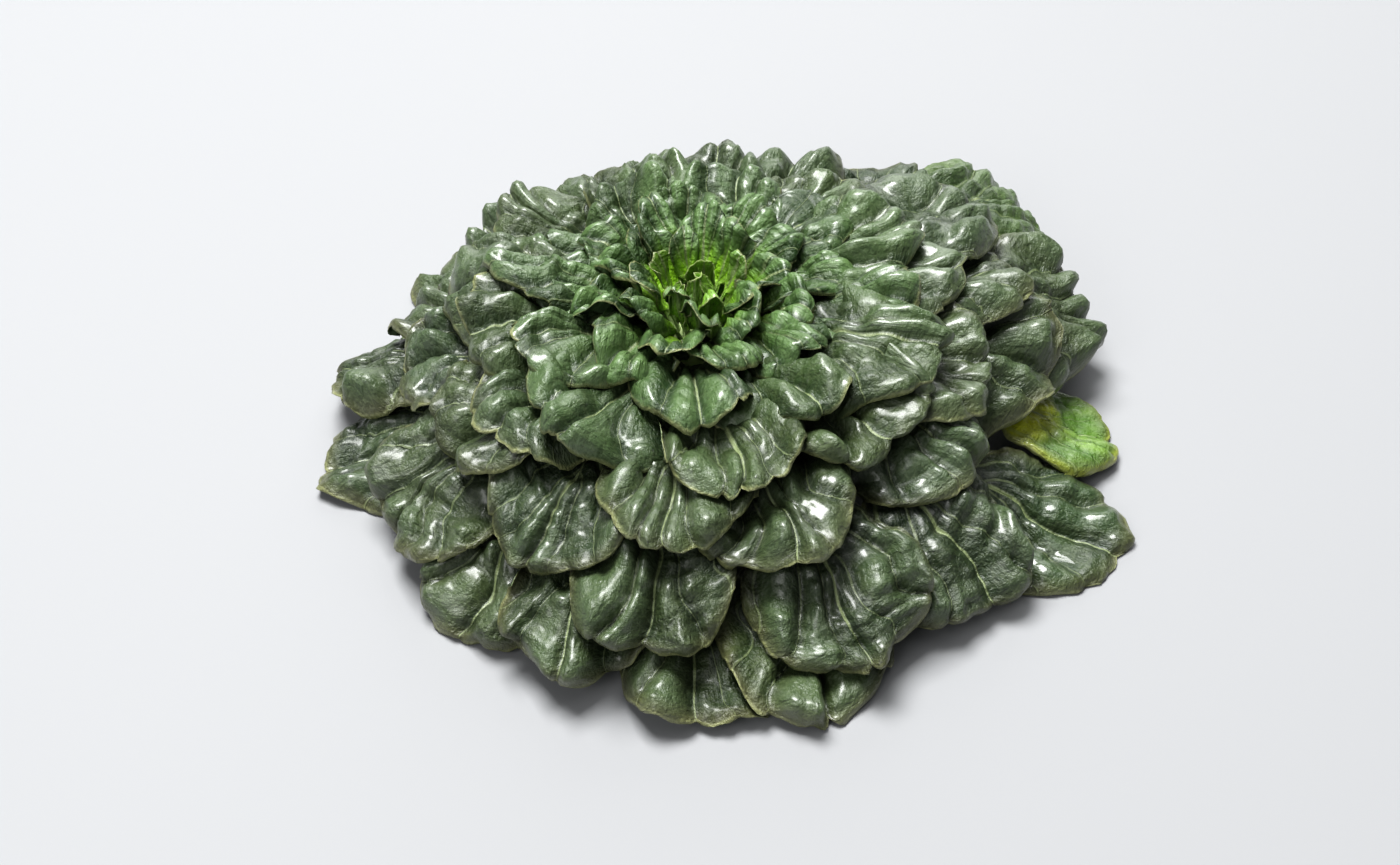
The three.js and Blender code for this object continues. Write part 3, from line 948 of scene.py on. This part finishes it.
def makeCrown(material):
    # a cone turned round the axis, with a low knob where each leaf leaves it
    around = np.linspace(0, 2 * np.pi, crownShape["sides"], endpoint=False)[None, :]
    cone = np.linspace(1.2, rosette["crownHeight"], crownShape["rings"])
    level = np.concatenate([[0, 0, 0.4], cone, crownShape["tip"]])[:, None]
    shoulder = crownShape["shoulder"]
    slope = mix(crownShape["foot"], crownRadiusAt(shoulder), level / shoulder)
    radius = np.where(level < shoulder, slope, crownRadiusAt(level))
    aboveCone = (level - rosette["crownHeight"]) / crownShape["closes"]
    narrowing = mix(rosette["crownTopRadius"], crownShape["tipRadius"], aboveCone)
    radius = np.where(level > rosette["crownHeight"], narrowing, radius)
    radius[0, 0] = crownShape["footCentre"]
    radius[1, 0] = crownShape["foot"] - crownShape["bevel"]
    knobs = 0
    for leaf in range(rosette["leaves"]):
        plan = planLeaf(leaf)
        turn = around - plan["azimuth"]
        aside = np.arctan2(np.sin(turn), np.cos(turn)) * crownShape["foot"] / crownShape["knobWidth"]
        above = (level - plan["crownHeight"]) / crownShape["knobHeight"]
        knobs = knobs + np.exp(-(aside**2) - above**2)
    r = radius + crownShape["knob"] * np.minimum(knobs, 1.5) * (level > 1)
    points = np.stack([r * np.cos(around), r * np.sin(around), level + 0 * around], -1)
    rows, columns = r.shape
    i = np.arange(rows * columns).reshape(rows, columns)
    j = np.roll(i, -1, axis=1)
    faces = np.stack([i[:-1], j[:-1], j[1:], i[1:]], -1).reshape(-1, 4).tolist()
    faces.append(i[0, ::-1].tolist())
    faces.append(i[-1].tolist())
    return makeMesh("crown_stem", points.reshape(-1, 3), faces, material)


def makeFloor():
    tree = Tree("pale floor")
    tree.shader.inputs["Base Color"].default_value = (0.262, 0.266, 0.272, 1)
    tree.shader.inputs["Roughness"].default_value = 0.6
    tree.shader.inputs["Specular IOR Level"].default_value = 0.1
    mesh = bpy.data.meshes.new("floor")
    mesh.from_pydata([(-4, -4, 0), (4, -4, 0), (4, 4, 0), (-4, 4, 0)], [], [(0, 1, 2, 3)])
    mesh.materials.append(tree.material)
    floor = bpy.data.objects.new("floor", mesh)
    bpy.context.scene.collection.objects.link(floor)


lights = {
    "key": {"at": (-0.35, 0.45, 2.0), "size": 1.0, "watts": 82},
    "top": {"at": (0.2, 0.1, 2.6), "size": 2.4, "watts": 16},
    "front": {"at": (-1.1, -1.5, 1.5), "size": 1.2, "watts": 14},
    "back": {"at": (0.2, 1.7, 0.9), "size": 1.6, "watts": 15},
}
studio = {"aim": (0, 0, 0.04), "sky": (0.95, 0.97, 1.0), "skyStrength": 0.14, "exposure": 0.2}


def makeLight(name, facts):
    # a square lamp, turned to face the head
    lamp = bpy.data.lights.new(name, "AREA")
    lamp.shape = "SQUARE"
    lamp.size = facts["size"]
    lamp.energy = facts["watts"]
    holder = bpy.data.objects.new(name, lamp)
    holder.location = facts["at"]
    x, y, z = np.array(facts["at"]) - np.array(studio["aim"])
    down = math.atan2(math.hypot(x, y), z)
    holder.rotation_euler = (down, 0, math.atan2(y, x) + math.pi / 2)
    bpy.context.scene.collection.objects.link(holder)


def makeStudio():
    for name, facts in lights.items():
        makeLight(name, facts)
    world = bpy.data.worlds.new("sky")
    world.use_nodes = True
    background = world.node_tree.nodes["Background"]
    background.inputs["Color"].default_value = (*studio["sky"], 1)
    background.inputs["Strength"].default_value = studio["skyStrength"]
    bpy.context.scene.world = world
    look = bpy.context.scene.view_settings
    look.view_transform = "Standard"
    look.look = "Medium High Contrast"
    look.exposure = studio["exposure"]


view = {"at": (0.005, -0.558, 0.611), "down": 48.0, "left": 0.4, "lens": 60.0, "sensor": 36}


def makeCamera():
    lens = bpy.data.cameras.new("camera")
    lens.lens = view["lens"]
    lens.sensor_width = view["sensor"]
    camera = bpy.data.objects.new("camera", lens)
    camera.location = view["at"]
    camera.rotation_euler = (math.radians(90 - view["down"]), 0, math.radians(view["left"]))
    bpy.context.scene.collection.objects.link(camera)
    bpy.context.scene.camera = camera


makeCamera()
makeStudio()
makeFloor()
print("stage done")

green = leafMaterial("green leaf", leafColours)
yellow = leafMaterial("yellowed leaf", {
    **leafColours,
    "old": (0.050, 0.130, 0.012, 1),
    "oldLight": (0.125, 0.250, 0.022, 1),
    "ridge": (0.175, 0.310, 0.036, 1),
    "stain": (0.600, 0.650, 0.020, 1),
})
pale = leafMaterial("pale leaf", {
    **leafColours,
    "old": (0.022, 0.050, 0.010, 1),
    "oldLight": (0.058, 0.110, 0.018, 1),
    "ridge": (0.075, 0.125, 0.045, 1),
    "edge": (0.110, 0.180, 0.036, 1),
    # the pale leaf's painted shade under the leaf above is lighter too
    "deep": (0.012, 0.030, 0.006, 1),
})
glossy = leafMaterial("glossy leaf", {
    **leafColours,
    "old": (0.008, 0.021, 0.008, 1),
    "oldLight": (0.016, 0.037, 0.013, 1),
    "ridge": (0.036, 0.072, 0.026, 1),
    "coat": 0.15,
})
leafMaterials = {yellowLeaf: yellow, paleLeaf: pale, glossyLeaf: glossy}
for leaf in range(rosette["leaves"]):
    piece = makeLeaf(leaf, leafMaterials.get(leaf, green))
    if leaf < rosette["separate"]:
        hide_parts(pieceName(leaf))
    else:
        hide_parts("heart_rosette")
leaves = [piece.data for piece in bpy.data.objects if "leaf" in piece.name]
triangles = sum(len(face.vertices) - 2 for mesh in leaves for face in mesh.polygons)
print("leaves done", triangles, "triangles")

stem = makeCrown(crownMaterial())
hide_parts("crown")
print("crown done")
